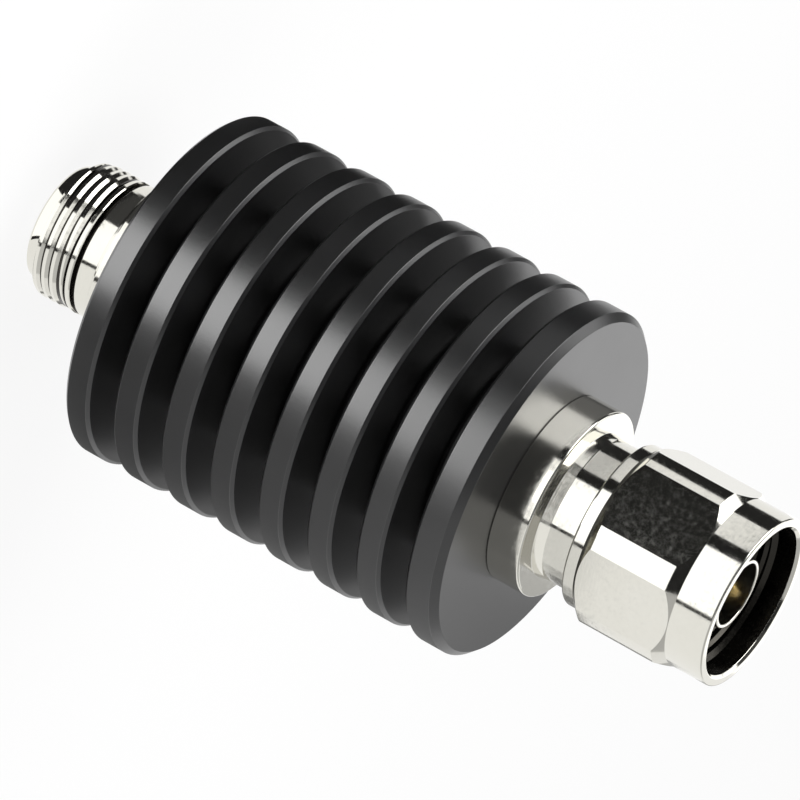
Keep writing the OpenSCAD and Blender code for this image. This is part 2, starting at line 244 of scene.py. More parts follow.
def new_tree(name, inputs):
    """Geometry tree with named inputs, given as {name: socket type}; returns it and its wires."""
    tree = bpy.data.node_groups.new(name, "GeometryNodeTree")
    tree.interface.new_socket("Geometry", in_out="INPUT", socket_type="NodeSocketGeometry")
    for label, kind in inputs.items():
        tree.interface.new_socket(label, in_out="INPUT", socket_type=kind)
    tree.interface.new_socket("Geometry", in_out="OUTPUT", socket_type="NodeSocketGeometry")
    start = on_tree(tree).node("NodeGroupInput").socket.node
    return tree, {socket.name: Wire(tree, socket) for socket in start.outputs if socket.name}


def close_tree(tree, geometry, material):
    """Smooths the shape but for its creases, sets its material and ends the tree."""
    smooth = geometry.node("GeometryNodeSetShadeSmooth", {"domain": "FACE"}, {"Geometry": geometry})
    angle = smooth.node("GeometryNodeInputMeshEdgeAngle")
    crease = angle.math("GREATER_THAN", angle, CREASE)
    creased = smooth.node(
        "GeometryNodeSetShadeSmooth", {"domain": "EDGE"},
        {"Geometry": smooth, "Selection": crease, "Shade Smooth": False})
    real = creased.node("GeometryNodeRealizeInstances", inputs={"Geometry": creased})
    done = real.node("GeometryNodeSetMaterial", inputs={"Geometry": real, "Material": material})
    done.node("NodeGroupOutput", inputs={0: done})
    return tree


print(f"edges sharper than {math.degrees(CREASE):.0f} degrees stay crisp")

# %% [markdown]
# The lathe tree copies the repeated stretch along the axis, joins the copies to the rest of the
# outline and sweeps the whole round a circle. The sweep leaves the faces turned inwards, so they are
# flipped.

# %% Geometry Nodes: a lathe that can repeat part of an outline
MERGE_DISTANCE = 1e-7


def lathe_tree():
    """Repeats one stretch of outline along the axis, joins it to the rest and sweeps it round."""
    tree, given = new_tree("lathe", {
        "Repeated Outline": "NodeSocketObject", "Copies": "NodeSocketInt", "Pitch": "NodeSocketFloat",
        "Segments": "NodeSocketInt", "Sweep Radius": "NodeSocketFloat", "Material": "NodeSocketMaterial"})
    rest = given["Geometry"]
    stretch = rest.node(
        "GeometryNodeObjectInfo", inputs={"Object": given["Repeated Outline"]}, output="Geometry")
    step = rest.node("ShaderNodeCombineXYZ", inputs={"Y": 0.0 - given["Pitch"]})
    places = rest.node("GeometryNodeMeshLine", inputs={"Count": given["Copies"], "Offset": step})
    copies = rest.node("GeometryNodeInstanceOnPoints", inputs={"Points": places, "Instance": stretch})
    loose = rest.node("GeometryNodeRealizeInstances", inputs={"Geometry": copies})
    joined = rest.node("GeometryNodeJoinGeometry", inputs={"Geometry": rest})
    tree.links.new(loose.socket, joined.socket.node.inputs[0])
    merged = rest.node(
        "GeometryNodeMergeByDistance", inputs={"Geometry": joined, "Distance": MERGE_DISTANCE})
    outline = rest.node("GeometryNodeMeshToCurve", inputs={"Mesh": merged})
    circle = rest.node(
        "GeometryNodeCurvePrimitiveCircle",
        inputs={"Resolution": given["Segments"], "Radius": given["Sweep Radius"]})
    upright = rest.node("GeometryNodeSetCurveNormal", {"mode": "Z_UP"}, {"Curve": circle})
    swept = rest.node("GeometryNodeCurveToMesh", inputs={"Curve": upright, "Profile Curve": outline})
    outward = rest.node("GeometryNodeFlipFaces", inputs={"Mesh": swept})
    return close_tree(tree, outward, given["Material"])


LATHE = lathe_tree()
print("lathe tree has", len(LATHE.nodes), "nodes")

# %% [markdown]
# A tree runs as a modifier on a helper object, and a plain mesh is copied from the result, so that
# the piece can be exported as it is. An operator could apply the modifier instead, but it works on
# whichever object is active, which is easy to get wrong in a script.

# %% Run a tree and keep a plain mesh
SWEEP_RADIUS = 10.0
SEGMENTS = 256


def mesh_object(name, points, edges=(), faces=()):
    """New mesh object from points in metres, edges and faces."""
    mesh = bpy.data.meshes.new(name)
    mesh.from_pydata(points, edges, faces)
    return placed(name, mesh)


def outline_object(name, outline, closed):
    """Outline as edges in the lathe's own plane: X outwards from the sweep, Y down the axis."""
    points = [((radius - SWEEP_RADIUS) * MM, -height * MM, 0.0) for radius, height in outline]
    edges = [(index, index + 1) for index in range(len(points) - 1)]
    if closed:
        edges.append((len(points) - 1, 0))
    return mesh_object(name, points, edges)


def plain_copy(host, name):
    """Plain mesh object of what an object's modifiers make of it."""
    depsgraph = bpy.context.evaluated_depsgraph_get()
    mesh = bpy.data.meshes.new_from_object(host.evaluated_get(depsgraph), depsgraph=depsgraph)
    mesh.name = name
    return placed(name, mesh)


def tree_inputs(tree):
    """Identifier of each named input of a tree."""
    return {item.name: item.identifier for item in tree.interface.items_tree if item.in_out == "INPUT"}


def bake(host, name, tree, values):
    """Runs a tree on an object and returns a plain mesh object; the host is removed."""
    modifier = host.modifiers.new(tree.name, "NODES")
    modifier.node_group = tree
    sockets = tree_inputs(tree)
    for label, value in values.items():
        modifier[sockets[label]] = value
    made = plain_copy(host, name)
    bpy.data.objects.remove(host)
    return made


def turned(name, points, material, repeated=None, copies=0, pitch=0.0):
    """Turned piece from a closed outline, or from an open one that the repeated stretch closes."""
    rest = outline_object(name + "_outline", rounded(points), repeated is None)
    values = {
        "Copies": copies, "Pitch": pitch * MM, "Segments": SEGMENTS,
        "Sweep Radius": SWEEP_RADIUS * MM, "Material": material}
    if repeated:
        stretch = outline_object(name + "_stretch", rounded(repeated), False)
        values["Repeated Outline"] = stretch
    made = bake(rest, name, LATHE, values)
    if repeated:
        bpy.data.objects.remove(stretch)
    print(f"{name}: {len(made.data.polygons)} faces")
    return made


print("the lathe takes:", ", ".join(tree_inputs(LATHE)))

# %% [markdown]
# ## Finishes
#
# Each finish is one Principled shader. What is the same all over is written on its sockets, and
# what varies is a pattern in Object coordinates, so it sticks to the piece from every side. Image
# textures could hold the same detail, but noise has no seams and no fixed resolution.

# %% A finish and its patterns
NOISE_ROUGHNESS = 0.55


class Finish:
    """A material with one Principled shader and wires to feed it."""

    def __init__(self, name, constants):
        self.material = bpy.data.materials.new(name)
        self.material.use_nodes = True
        self.tree = self.material.node_tree
        self.shader = self.tree.nodes["Principled BSDF"]
        for socket, value in constants.items():
            self.shader.inputs[socket].default_value = value
        self.place = on_tree(self.tree).node("ShaderNodeTexCoord", output="Object")

    def feed(self, socket, wire):
        """Links a varying value to a socket of the shader."""
        self.tree.links.new(wire.socket, self.shader.inputs[socket])

    def noise(self, size, detail=2.0, place=None):
        """Noise from 0 to 1 with lumps of about this size in millimetres."""
        vector = place or self.place
        scale = 1.0 / (size * MM)
        return vector.node(
            "ShaderNodeTexNoise", {"noise_dimensions": "3D"},
            {"Vector": vector, "Scale": scale, "Detail": detail, "Roughness": NOISE_ROUGHNESS})

    def radius_and_height(self):
        """Distance from the axis and height, in metres."""
        flat = self.place.node(
            "ShaderNodeVectorMath", {"operation": "MULTIPLY"}, {0: self.place, 1: (1.0, 1.0, 0.0)})
        distance = flat.node("ShaderNodeVectorMath", {"operation": "LENGTH"}, {0: flat}, output="Value")
        return distance, self.place.node("ShaderNodeSeparateXYZ", inputs={0: self.place}, output="Z")

    def turning(self):
        """Coordinates that change only across the cuts of a lathe."""
        distance, height = self.radius_and_height()
        return self.place.node("ShaderNodeCombineXYZ", inputs={"X": distance, "Z": height})

    def within(self, inner, outer, low, high):
        """1 between two radii and two heights, in millimetres, and 0 elsewhere."""
        distance, height = self.radius_and_height()
        mask = distance.math("GREATER_THAN", distance, inner * MM)
        mask = mask * distance.math("LESS_THAN", distance, outer * MM)
        mask = mask * height.math("GREATER_THAN", height, low * MM)
        return mask * height.math("LESS_THAN", height, high * MM)

    def tint(self, pattern, dark, light):
        """Colour that runs from dark to light with a pattern; each end is a colour or a wire."""
        ends = [end if isinstance(end, Wire) else (*end, 1.0) for end in (dark, light)]
        # Inputs 0, 6 and 7 of a Mix node are its factor and two colours; output 2 is the mixed colour.
        return pattern.node(
            "ShaderNodeMix", {"data_type": "RGBA"}, {0: pattern, 6: ends[0], 7: ends[1]}, output=2)

    def bump(self, pattern, depth):
        """Feeds a height pattern of this depth in millimetres to the normal."""
        lifted = pattern.node("ShaderNodeBump", inputs={"Distance": depth * MM, "Height": pattern})
        self.feed("Normal", lifted)


print("patterns of a finish:", [name for name in vars(Finish) if not name.startswith("__")])

# %% [markdown]
# ### Black anodising
#
# The heat sink is bead-blasted aluminium, dyed black and sealed under a clear oxide. The dye swallows
# nearly all light, so what shows is the satin gloss of the oxide. A dark grey base would look like
# paint, the same from every side. An almost black base with a high index of refraction is bright only
# where it mirrors a light, as the oxide is.

# %% Finish: black anodising
def black_anodised():
    """Bead-blasted aluminium dyed black: fine grain, satin, with a faint uneven sheen."""
    finish = Finish("black_anodised", {"Metallic": 0.0, "IOR": 1.95})
    cloud = finish.noise(6.0)
    grain = finish.noise(0.16, detail=3.0)
    finish.feed("Base Color", finish.tint(cloud, (0.003, 0.003, 0.0033), (0.006, 0.006, 0.0064)))
    finish.feed("Roughness", 0.27 + cloud * 0.05 + grain * 0.05)
    finish.bump(grain, 0.006)
    return finish.material


FINISHES = {"black_anodised": black_anodised()}
print("black anodising has", len(FINISHES["black_anodised"].node_tree.nodes), "nodes")

# %% [markdown]
# ### Nickel plate
#
# Polished nickel is a warm mirror. What belongs to the metal itself is little: the faint rings of the
# lathe and scuffs that blur the mirror. In the thread's roots and in the bores the base colour is
# painted dark as painted shade, and the surface there is rougher. An ambient occlusion node could
# find those places, but a mask by radius and height says exactly where they are.

# %% Finish: nickel plate
PLATE_TINTS = ((0.74, 0.725, 0.655), (0.79, 0.775, 0.715))
# Painted shade: the dark base colour given to the bores and the thread's roots.
PAINTED_SHADE_TINT = (0.05, 0.047, 0.041)
SLEEVE_MARGIN = 0.05
SLEEVE_MIDWALL = 0.25
SLEEVE_RIM = 0.14
# How much weaker the painted shade is inside the sleeve's bore.
SLEEVE_SHADE_EASE = 0.7
# Each of these zones is an inner and an outer radius, and a low and a high end.
THREAD_ROOTS = (6.8, 7.74, 1.75, 7.18)
NUT_BORES = (0.0, 8.7, nut_back + 1.0, nut_mouth - 0.32)


def painted_shade_mask(finish):
    """1 where shade is painted: the nut's bores, less inside the sleeve, and the thread's roots."""
    rim_start = sleeve_tip - SLEEVE_RIM
    sleeve_rim = finish.within(0.0, sleeve_radius + SLEEVE_MARGIN, rim_start, nut_mouth)
    sleeve_bore = finish.within(0.0, sleeve_radius - SLEEVE_MIDWALL, nut_back, rim_start)
    # Painted shade fills the nut's bores but not the sleeve's rim, and is weaker inside the sleeve.
    painted_shade = finish.within(*NUT_BORES) * (1.0 - sleeve_rim) - sleeve_bore * SLEEVE_SHADE_EASE
    return painted_shade.math("MAXIMUM", painted_shade, finish.within(*THREAD_ROOTS))


def nickel_plate():
    """Polished nickel with faint turning rings and scuffs; painted shade and more roughness in the bores
    and the thread's roots.
    """
    finish = Finish("nickel_plate", {"Metallic": 1.0})
    rings = finish.noise(0.22, place=finish.turning())
    cloud = finish.noise(5.0)
    scuff = finish.noise(0.5, detail=8.0)
    painted_shade = painted_shade_mask(finish)
    # Painted shade: the base colour runs to a dark tint in the bores and the thread's roots.
    finish.feed("Base Color", finish.tint(painted_shade, finish.tint(cloud, *PLATE_TINTS), PAINTED_SHADE_TINT))
    # Roughness from scuffs, and more roughness where shade is painted.
    scuff_and_shade_roughness = scuff * scuff * scuff * 0.3 + painted_shade * 0.16
    finish.feed("Roughness", 0.035 + cloud * 0.02 + rings * 0.03 + scuff_and_shade_roughness)
    finish.bump(rings, 0.0012)
    return finish.material


FINISHES["nickel_plate"] = nickel_plate()
print("nickel plate has", len(FINISHES["nickel_plate"].node_tree.nodes), "nodes")

# %% [markdown]
# ### The pieces inside
#
# The contacts, beads, chip and screws hardly show, so two recipes serve them all: one for drawn or
# turned metal and one for plastic, rubber and ceramic. A recipe with a tint and a roughness is
# enough, because only the pin and its bead are ever seen, deep in the sleeve.

# %% Finishes: inner pieces
def plain_metal(name, dark, light, roughness):
    """Small inner metal pieces: a tint that drifts and a drawn, slightly rough surface."""
    finish = Finish(name, {"Metallic": 1.0})
    cloud = finish.noise(1.5)
    rings = finish.noise(0.12, place=finish.turning())
    finish.feed("Base Color", finish.tint(cloud, dark, light))
    finish.feed("Roughness", roughness + rings * 0.1)
    finish.bump(rings, 0.001)
    return finish.material


def plain_solid(name, dark, light, roughness, grain):
    """Small inner pieces that aren't metal: plastic, rubber and ceramic."""
    finish = Finish(name, {"Metallic": 0.0})
    cloud = finish.noise(2.0)
    speck = finish.noise(grain, detail=3.0)
    finish.feed("Base Color", finish.tint(cloud, dark, light))
    finish.feed("Roughness", roughness + speck * 0.12)
    finish.bump(speck, 0.004)
    return finish.material


INNER_METALS = [
    ("gold_plate", (0.78, 0.55, 0.20), (0.87, 0.67, 0.32), 0.16),
    ("spring_steel", (0.40, 0.41, 0.42), (0.50, 0.51, 0.52), 0.26),
    ("bare_copper", (0.66, 0.37, 0.24), (0.76, 0.46, 0.32), 0.3),
    ("silver_ribbon", (0.78, 0.78, 0.76), (0.86, 0.86, 0.84), 0.2),
]
INNER_SOLIDS = [
    ("white_dielectric", (0.86, 0.86, 0.84), (0.92, 0.92, 0.90), 0.42, 0.3),
    ("gasket_rubber", (0.018, 0.018, 0.019), (0.035, 0.035, 0.036), 0.6, 0.2),
    ("chip_ceramic", (0.84, 0.82, 0.77), (0.90, 0.88, 0.83), 0.5, 0.15),
]
FINISHES.update({row[0]: plain_metal(*row) for row in INNER_METALS})
FINISHES.update({row[0]: plain_solid(*row) for row in INNER_SOLIDS})
print("finishes:", ", ".join(FINISHES))

# %% [markdown]
# ## The heat sink
#
# The fins are cut from one bar with a grooving tool. The repeated stretch runs from the middle of
# one rim, over its bevel into the groove, along the floor and up to the middle of the next rim. The
# rest of the outline closes the two end faces and the bore. The last fin is thicker and has a wider
# bevel, which shows as a black line round its edge. An Array modifier on one fin would leave a seam
# at every joint; one outline for the whole bar has none.

# %% Turn the heat sink
FIN_COUNT = 8
FIN_THICK = 3.05
GROOVE_WIDTH = 3.13
RIM_BEVEL = 0.35
ROOT_EDGE = 0.6
LAST_BEVEL = 0.78
BEVEL_EDGE = 0.08
CORE_RADIUS = 12.0
SPIGOT_SEAT = 8.02
CARRIER_SEAT = 7.22
SPIGOT_LENGTH = 8.0

fin_pitch = FIN_THICK + GROOVE_WIDTH
first_rim = sink_low + FIN_THICK / 2
last_rim = first_rim + (FIN_COUNT - 1) * fin_pitch
bevel_radius = fin_radius - RIM_BEVEL
groove_low = sink_low + FIN_THICK
groove_high = sink_low + fin_pitch
groove_stretch = [
    (fin_radius, first_rim),
    (fin_radius, groove_low - RIM_BEVEL, BEVEL_EDGE),
    (bevel_radius, groove_low, BEVEL_EDGE),
    (CORE_RADIUS, groove_low, ROOT_EDGE),
    (CORE_RADIUS, groove_high, ROOT_EDGE),
    (bevel_radius, groove_high, BEVEL_EDGE),
    (fin_radius, groove_high + RIM_BEVEL, BEVEL_EDGE),
    (fin_radius, first_rim + fin_pitch),
]
sink_ends = [
    (fin_radius, last_rim),
    (fin_radius, sink_high - LAST_BEVEL, BEVEL_EDGE),
    (fin_radius - LAST_BEVEL, sink_high, BEVEL_EDGE),
    (SPIGOT_SEAT, sink_high),
    (SPIGOT_SEAT, sink_high - SPIGOT_LENGTH),
    (CARRIER_SEAT, sink_high - SPIGOT_LENGTH),
    (CARRIER_SEAT, sink_low + SPIGOT_LENGTH),
    (SPIGOT_SEAT, sink_low + SPIGOT_LENGTH),
    (SPIGOT_SEAT, sink_low),
    (bevel_radius, sink_low, BEVEL_EDGE),
    (fin_radius, sink_low + RIM_BEVEL, BEVEL_EDGE),
    (fin_radius, first_rim),
]
heat_sink = turned(
    "finned_heat_sink", sink_ends, FINISHES["black_anodised"],
    repeated=groove_stretch, copies=FIN_COUNT - 1, pitch=fin_pitch)

# %% [markdown]
# ## Coupling threads
#
# A thread is a ridge that climbs a helix. A displaced cylinder would blur its crests, so a second
# tree sweeps a trapezoid along a spiral instead. The ridge shrinks into the wall at both ends, the
# way a cut thread runs out. Plating and wear have left a broad crest and a shallow flank towards the
# plug, so the trapezoid leans. The same tree turns it inwards for the nut.

# %% Geometry Nodes: a thread ridge on a helix
THREAD_PITCH = 25.4 / 24
THREAD_RADIUS = 7.9375
THREAD_DEPTH = 0.22
RIDGE_FOOT = 0.94 * THREAD_PITCH
RIDGE_CREST = 0.38 * THREAD_PITCH
RIDGE_LEAN = 0.15 * THREAD_PITCH
RIDGE_SINK = 0.03
RIDGE_END_SIZE = 0.02
STEPS_PER_TURN = 640
RUN_OUT_TURNS = 0.3


def thread_tree():
    """Trapezoid ridge along a right-handed spiral, shrinking into the wall at both ends."""
    tree, given = new_tree("thread", {
        "Radius": "NodeSocketFloat", "Depth": "NodeSocketFloat", "Foot": "NodeSocketFloat",
        "Crest": "NodeSocketFloat", "Lean": "NodeSocketFloat", "Sink": "NodeSocketFloat",
        "Side": "NodeSocketFloat", "Turns": "NodeSocketFloat", "Length": "NodeSocketFloat",
        "Run-out": "NodeSocketFloat", "Steps": "NodeSocketInt", "Material": "NodeSocketMaterial"})
    root = given["Radius"]
    height = given["Depth"] + given["Sink"]
    section = root.node(
        "GeometryNodeCurvePrimitiveQuadrilateral", {"mode": "TRAPEZOID"},
        {"Bottom Width": given["Foot"], "Top Width": given["Crest"], "Height": height,
         "Offset": given["Side"] * given["Lean"] * -1.0})
    lean = root.node("ShaderNodeCombineXYZ", inputs={"Z": given["Side"] * (-math.pi / 2)})
    shift = root.node(
        "ShaderNodeCombineXYZ", inputs={"X": given["Side"] * (height / 2.0 - given["Sink"])})
    laid = root.node(
        "GeometryNodeTransform", inputs={"Geometry": section, "Translation": shift, "Rotation": lean})
    spiral = root.node("GeometryNodeCurveSpiral", inputs={
        "Resolution": given["Steps"], "Rotations": given["Turns"], "Start Radius": root,
        "End Radius": root, "Height": given["Length"], "Reverse": True})
    upright = root.node("GeometryNodeSetCurveNormal", {"mode": "Z_UP"}, {"Curve": spiral})
    along = root.node("GeometryNodeSplineParameter", output="Factor") * given["Turns"]
    rise = along.math("MINIMUM", along, given["Turns"] - along) / given["Run-out"]
    size = rise.node("ShaderNodeClamp", inputs={"Value": rise, "Min": RIDGE_END_SIZE, "Max": 1.0})
    ridge = root.node("GeometryNodeCurveToMesh", inputs={
        "Curve": upright, "Profile Curve": laid, "Scale": size, "Fill Caps": True})
    return close_tree(tree, ridge, given["Material"])


THREAD = thread_tree()
print("thread tree has", len(THREAD.nodes), "nodes")

# %% Wind a ridge on a wall
def thread_ridge(name, radius, low, high, side, start, material):
    """Ridge on a wall between two heights, from a start angle; side 1 stands outwards, -1 inwards."""
    host = mesh_object(name + "_host", [])
    length = high - low
    made = bake(host, name, THREAD, {
        "Radius": radius * MM, "Depth": THREAD_DEPTH * MM, "Foot": RIDGE_FOOT * MM,
        "Crest": RIDGE_CREST * MM, "Lean": RIDGE_LEAN * MM, "Sink": RIDGE_SINK * MM,
        "Side": float(side), "Turns": length / THREAD_PITCH, "Length": length * MM,
        "Run-out": RUN_OUT_TURNS, "Steps": STEPS_PER_TURN, "Material": material})
    turn = Matrix.Rotation(math.radians(start), 4, "Z")
    made.data.transform(Matrix.Translation((0.0, 0.0, low * MM)) @ turn)
    print(f"{name}: {length / THREAD_PITCH:.1f} turns, {len(made.data.polygons)} faces")
    return made


print(f"a ridge stands {THREAD_DEPTH:.2f} mm proud and climbs {THREAD_PITCH:.3f} mm a turn")

# %% [markdown]
# ## The jack
#
# The jack's shell is one turned piece of brass: a plain lip, the thread with the groove where its
# cutter runs out, a ring, a relief groove, a collar, a shoulder and the flange against the heat sink.
# A Boolean could cut the thread's groove into it, but that is slow and leaves ragged ends. So the
# outline keeps the thread's core, and the ridge is laid on it.

# %% Turn the jack's shell
EDGE = 0.12
INNER_EDGE = 0.08
LIP_RADIUS = 6.65
LIP_EDGE = 0.25
LIP_END = 1.3
LEAD_IN = 0.35
RUN_OUT = (5.74, 6.0)
RUN_OUT_SLOPE = 0.06
RING_EDGE = 0.06
RING_BEVEL = (0.078, 0.14)
THREAD_END = 6.6
RELIEF_RADIUS = 7.1
RELIEF_SLOPE = 0.1
RELIEF_END = 7.2
COLLAR_RADIUS = 7.85
COLLAR_EDGE = 0.1
COLLAR_END = 9.7
SHOULDER_RADIUS = 9.3
SHOULDER_EDGE = 0.2
JACK_FLANGE = 10.5
FLANGE_EDGE = 0.22
SPIGOT_RADIUS = 8.0
SEAT_GAP = 0.02
LINE_RADIUS = 3.5
JACK_BORE = 4.15
JACK_BORE_END = 9.1
MOUTH_BEVEL = 0.5

thread_core = THREAD_RADIUS - THREAD_DEPTH
ring_radius = THREAD_RADIUS - RING_EDGE
bead_bore = bead_radius + SEAT_GAP
jack_outline = [
    (JACK_BORE + MOUTH_BEVEL, jack_mouth, EDGE),
    (LIP_RADIUS, jack_mouth, LIP_EDGE),
    (LIP_RADIUS, LIP_END),
    (thread_core, LIP_END + LEAD_IN),
    (thread_core, RUN_OUT[0]),
    (RELIEF_RADIUS, RUN_OUT[0] + RUN_OUT_SLOPE),
    (RELIEF_RADIUS, RUN_OUT[1]),
    (ring_radius, RUN_OUT[1], RING_EDGE),
    (ring_radius, THREAD_END - RING_BEVEL[1]),
    (ring_radius - RING_BEVEL[0], THREAD_END),
    (RELIEF_RADIUS, THREAD_END + RELIEF_SLOPE),
    (RELIEF_RADIUS, RELIEF_END, COLLAR_EDGE),
    (COLLAR_RADIUS, RELIEF_END, COLLAR_EDGE),
    (COLLAR_RADIUS, COLLAR_END, INNER_EDGE),
    (SHOULDER_RADIUS, COLLAR_END, SHOULDER_EDGE),
    (SHOULDER_RADIUS, JACK_FLANGE, INNER_EDGE),
    (flange_radius, JACK_FLANGE, FLANGE_EDGE),
    (flange_radius, sink_low, EDGE),
    (SPIGOT_RADIUS, sink_low),
    (SPIGOT_RADIUS, jack_end),
    (bead_bore, jack_end),
    (bead_bore, JACK_FLANGE),
    (LINE_RADIUS, JACK_FLANGE),
    (LINE_RADIUS, JACK_BORE_END),
    (JACK_BORE, JACK_BORE_END),
    (JACK_BORE, jack_mouth + MOUTH_BEVEL, EDGE),
]
jack_shell = turned("jack_shell", jack_outline, FINISHES["nickel_plate"])

# %% Wind the jack's thread
RIDGE_SPAN = (1.82, 5.62)
START_ANGLE = 161

jack_thread = thread_ridge(
    "jack_thread", thread_core, *RIDGE_SPAN, 1, START_ANGLE, FINISHES["nickel_plate"])

# %% [markdown]
# ## The plug
#
# Behind the nut the plug's body shows a flange and a neck that flares a little at its foot. Inside
# the nut stands the thin outer contact, round the pin. The solids of the body and the contact could
# be shown as they are, but polished metal shows every facet, so they are turned from finer outlines.

# %% Turn the plug's body and outer contact
NUT_PLAY = 0.12
NECK_LENGTH = 4.3
NECK_RADIUS = 8.2
NECK_EDGE = 0.25
NECK_FLARE = (0.2, 1.2)
FLARE_EDGES = (0.06, 0.9)
JOURNAL_RADIUS = 6.5
SNAP_GROOVE = (nut_back + 1.68, nut_back + 2.72)
SNAP_FLOOR = 5.93
SLEEVE_EDGES = (0.15, 0.2)

neck_end = nut_back - NUT_PLAY
neck_foot = neck_end - NECK_LENGTH
sleeve_seat = sleeve_radius + SEAT_GAP
plug_outline = [
    (bead_bore, plug_end),
    (SPIGOT_RADIUS, plug_end),
    (SPIGOT_RADIUS, sink_high),
    (flange_radius, sink_high, EDGE),
    (flange_radius, neck_foot, NECK_EDGE),
    (NECK_RADIUS + NECK_FLARE[0], neck_foot, FLARE_EDGES[0]),
    (NECK_RADIUS, neck_foot + NECK_FLARE[1], FLARE_EDGES[1]),
    (NECK_RADIUS, neck_end, NECK_EDGE),
    (JOURNAL_RADIUS, neck_end),
    (JOURNAL_RADIUS, SNAP_GROOVE[0]),
    (SNAP_FLOOR, SNAP_GROOVE[0]),
    (SNAP_FLOOR, SNAP_GROOVE[1]),
    (JOURNAL_RADIUS, SNAP_GROOVE[1]),
    (JOURNAL_RADIUS, plug_face, NECK_EDGE),
    (sleeve_seat, plug_face),
    (sleeve_seat, sleeve_end),
    (LINE_RADIUS, sleeve_end),
    (LINE_RADIUS, neck_foot),
    (bead_bore, neck_foot),
]
sleeve_outline = [
    (LINE_RADIUS, sleeve_end),
    (sleeve_radius, sleeve_end),
    (sleeve_radius, sleeve_tip, SLEEVE_EDGES[1]),
    (LINE_RADIUS, sleeve_tip, SLEEVE_EDGES[0]),
]
plug_shell = turned("plug_shell", plug_outline, FINISHES["nickel_plate"])
outer_contact = turned("outer_contact_sleeve", sleeve_outline, FINISHES["nickel_plate"])

# %% [markdown]
# ## The coupling nut
#
# The nut is turned first and milled afterwards: a round blank with bevelled shoulders gets six
# flats, and narrow round lands stay between them. The same order works here. The blank comes off
# the lathe tree, then one Boolean cuts the flats, which leaves the curved edges that a real nut has
# where flats meet bevels. A six-sided cylinder would miss those edges.

# %% Turn the nut's blank
NUT_LAND = 10.55
LAND_EDGE = 0.1
NUT_EDGE = 0.22
BORE_EDGE = 0.1
RING_RADIUS = 9.4
RING_END = nut_back + 1.4
RIM_RADIUS = 9.7
RIM_START = nut_mouth - 4.5
BACK_BEVEL = 1.22
FRONT_BEVEL = 1.18
JOURNAL_GAP = 0.06
NUT_SNAP_FLOOR = 7.07
NUT_WALL = nut_back + 4.4
NUT_RELIEF = 8.4
NUT_RELIEF_SLOPE = 0.4
THREAD_GAP = 0.08
NUT_THREAD_START = NUT_WALL + 2.4
NUT_THREAD_END = nut_mouth - 3.0
MOUTH_RADIUS = 8.5
MOUTH_EDGE = 0.3

nut_bore = JOURNAL_RADIUS + JOURNAL_GAP
nut_thread_wall = THREAD_RADIUS + THREAD_GAP
nut_outline = [
    (nut_bore, nut_back, BORE_EDGE),
    (RING_RADIUS, nut_back, NUT_EDGE),
    (RING_RADIUS, RING_END),
    (NUT_LAND, RING_END + BACK_BEVEL, LAND_EDGE),
    (NUT_LAND, RIM_START - FRONT_BEVEL, LAND_EDGE),
    (RIM_RADIUS, RIM_START),
    (RIM_RADIUS, nut_mouth, NUT_EDGE),
    (MOUTH_RADIUS + MOUTH_EDGE, nut_mouth, BORE_EDGE),
    (MOUTH_RADIUS, nut_mouth - MOUTH_EDGE, BORE_EDGE),
    (MOUTH_RADIUS, NUT_THREAD_END + MOUTH_RADIUS - nut_thread_wall),
    (nut_thread_wall, NUT_THREAD_END),
    (nut_thread_wall, NUT_THREAD_START),
    (NUT_RELIEF, NUT_THREAD_START - NUT_RELIEF_SLOPE),
    (NUT_RELIEF, NUT_WALL),
    (nut_bore, NUT_WALL),
    (nut_bore, SNAP_GROOVE[1]),
    (NUT_SNAP_FLOOR, SNAP_GROOVE[1]),
    (NUT_SNAP_FLOOR, SNAP_GROOVE[0]),
    (nut_bore, SNAP_GROOVE[0]),
]
nut_blank = turned("nut_blank", nut_outline, FINISHES["nickel_plate"])

# %% Mill the flats
NUT_FLATS = 19.5
NUT_TURN = math.radians(40.5)
CUT_PAST = 0.01
CUTTER_REACH = 1.25 * NUT_LAND
BLOCK_FACES = [(0, 1, 3, 2), (4, 6, 7, 5), (0, 4, 5, 1), (2, 3, 7, 6), (0, 2, 6, 4), (1, 5, 7, 3)]


def milling_blocks():
    """Six blocks that stand where the cutter takes the nut's flats."""
    low, high = (RING_END - CUT_PAST) * MM, (RIM_START + CUT_PAST) * MM
    near, far = NUT_FLATS / 2 * MM, CUTTER_REACH * MM
    half = NUT_LAND / 2 * MM
    corners, faces = [], []
    for side in range(6):
        turn = Matrix.Rotation(NUT_TURN + math.radians(30 + 60 * side), 3, "Z")
        start = len(corners)
        for x in (near, far):
            for y in (-half, half):
                corners += [turn @ Vector((x, y, low)), turn @ Vector((x, y, high))]
        faces += [tuple(start + corner for corner in quad) for quad in BLOCK_FACES]
    return mesh_object("milling_blocks", corners, faces=faces)


def milled(blank, cutter, name):
    """Cuts the flats with a Boolean and returns a plain mesh with crisp edges."""
    cut = blank.modifiers.new("flats", "BOOLEAN")
    cut.operation = "DIFFERENCE"
    cut.solver = "EXACT"
    cut.use_self = True
    cut.object = cutter
    made = plain_copy(blank, name)
    for helper in (blank, cutter):
        bpy.data.objects.remove(helper)
    made.data.shade_smooth()
    made.data.set_sharp_from_angle(angle=CREASE)
    return made


hex_nut = milled(nut_blank, milling_blocks(), "hexagonal_nut")
print(f"hexagonal_nut: {len(hex_nut.data.polygons)} faces")

# %% Wind the nut's thread
NUT_RIDGE_SPAN = (NUT_THREAD_START + 0.3, NUT_THREAD_END - 0.1)

nut_thread = thread_ridge(
    "nut_thread", nut_thread_wall, *NUT_RIDGE_SPAN, -1, 0, FINISHES["nickel_plate"])

# %% [markdown]
# ## Join the pieces to the frame
#
# New pieces ride on a body and stand for the solids they dress, so the nut's thread turns with the
# nut. The other solids keep their own meshes and only get a finish.

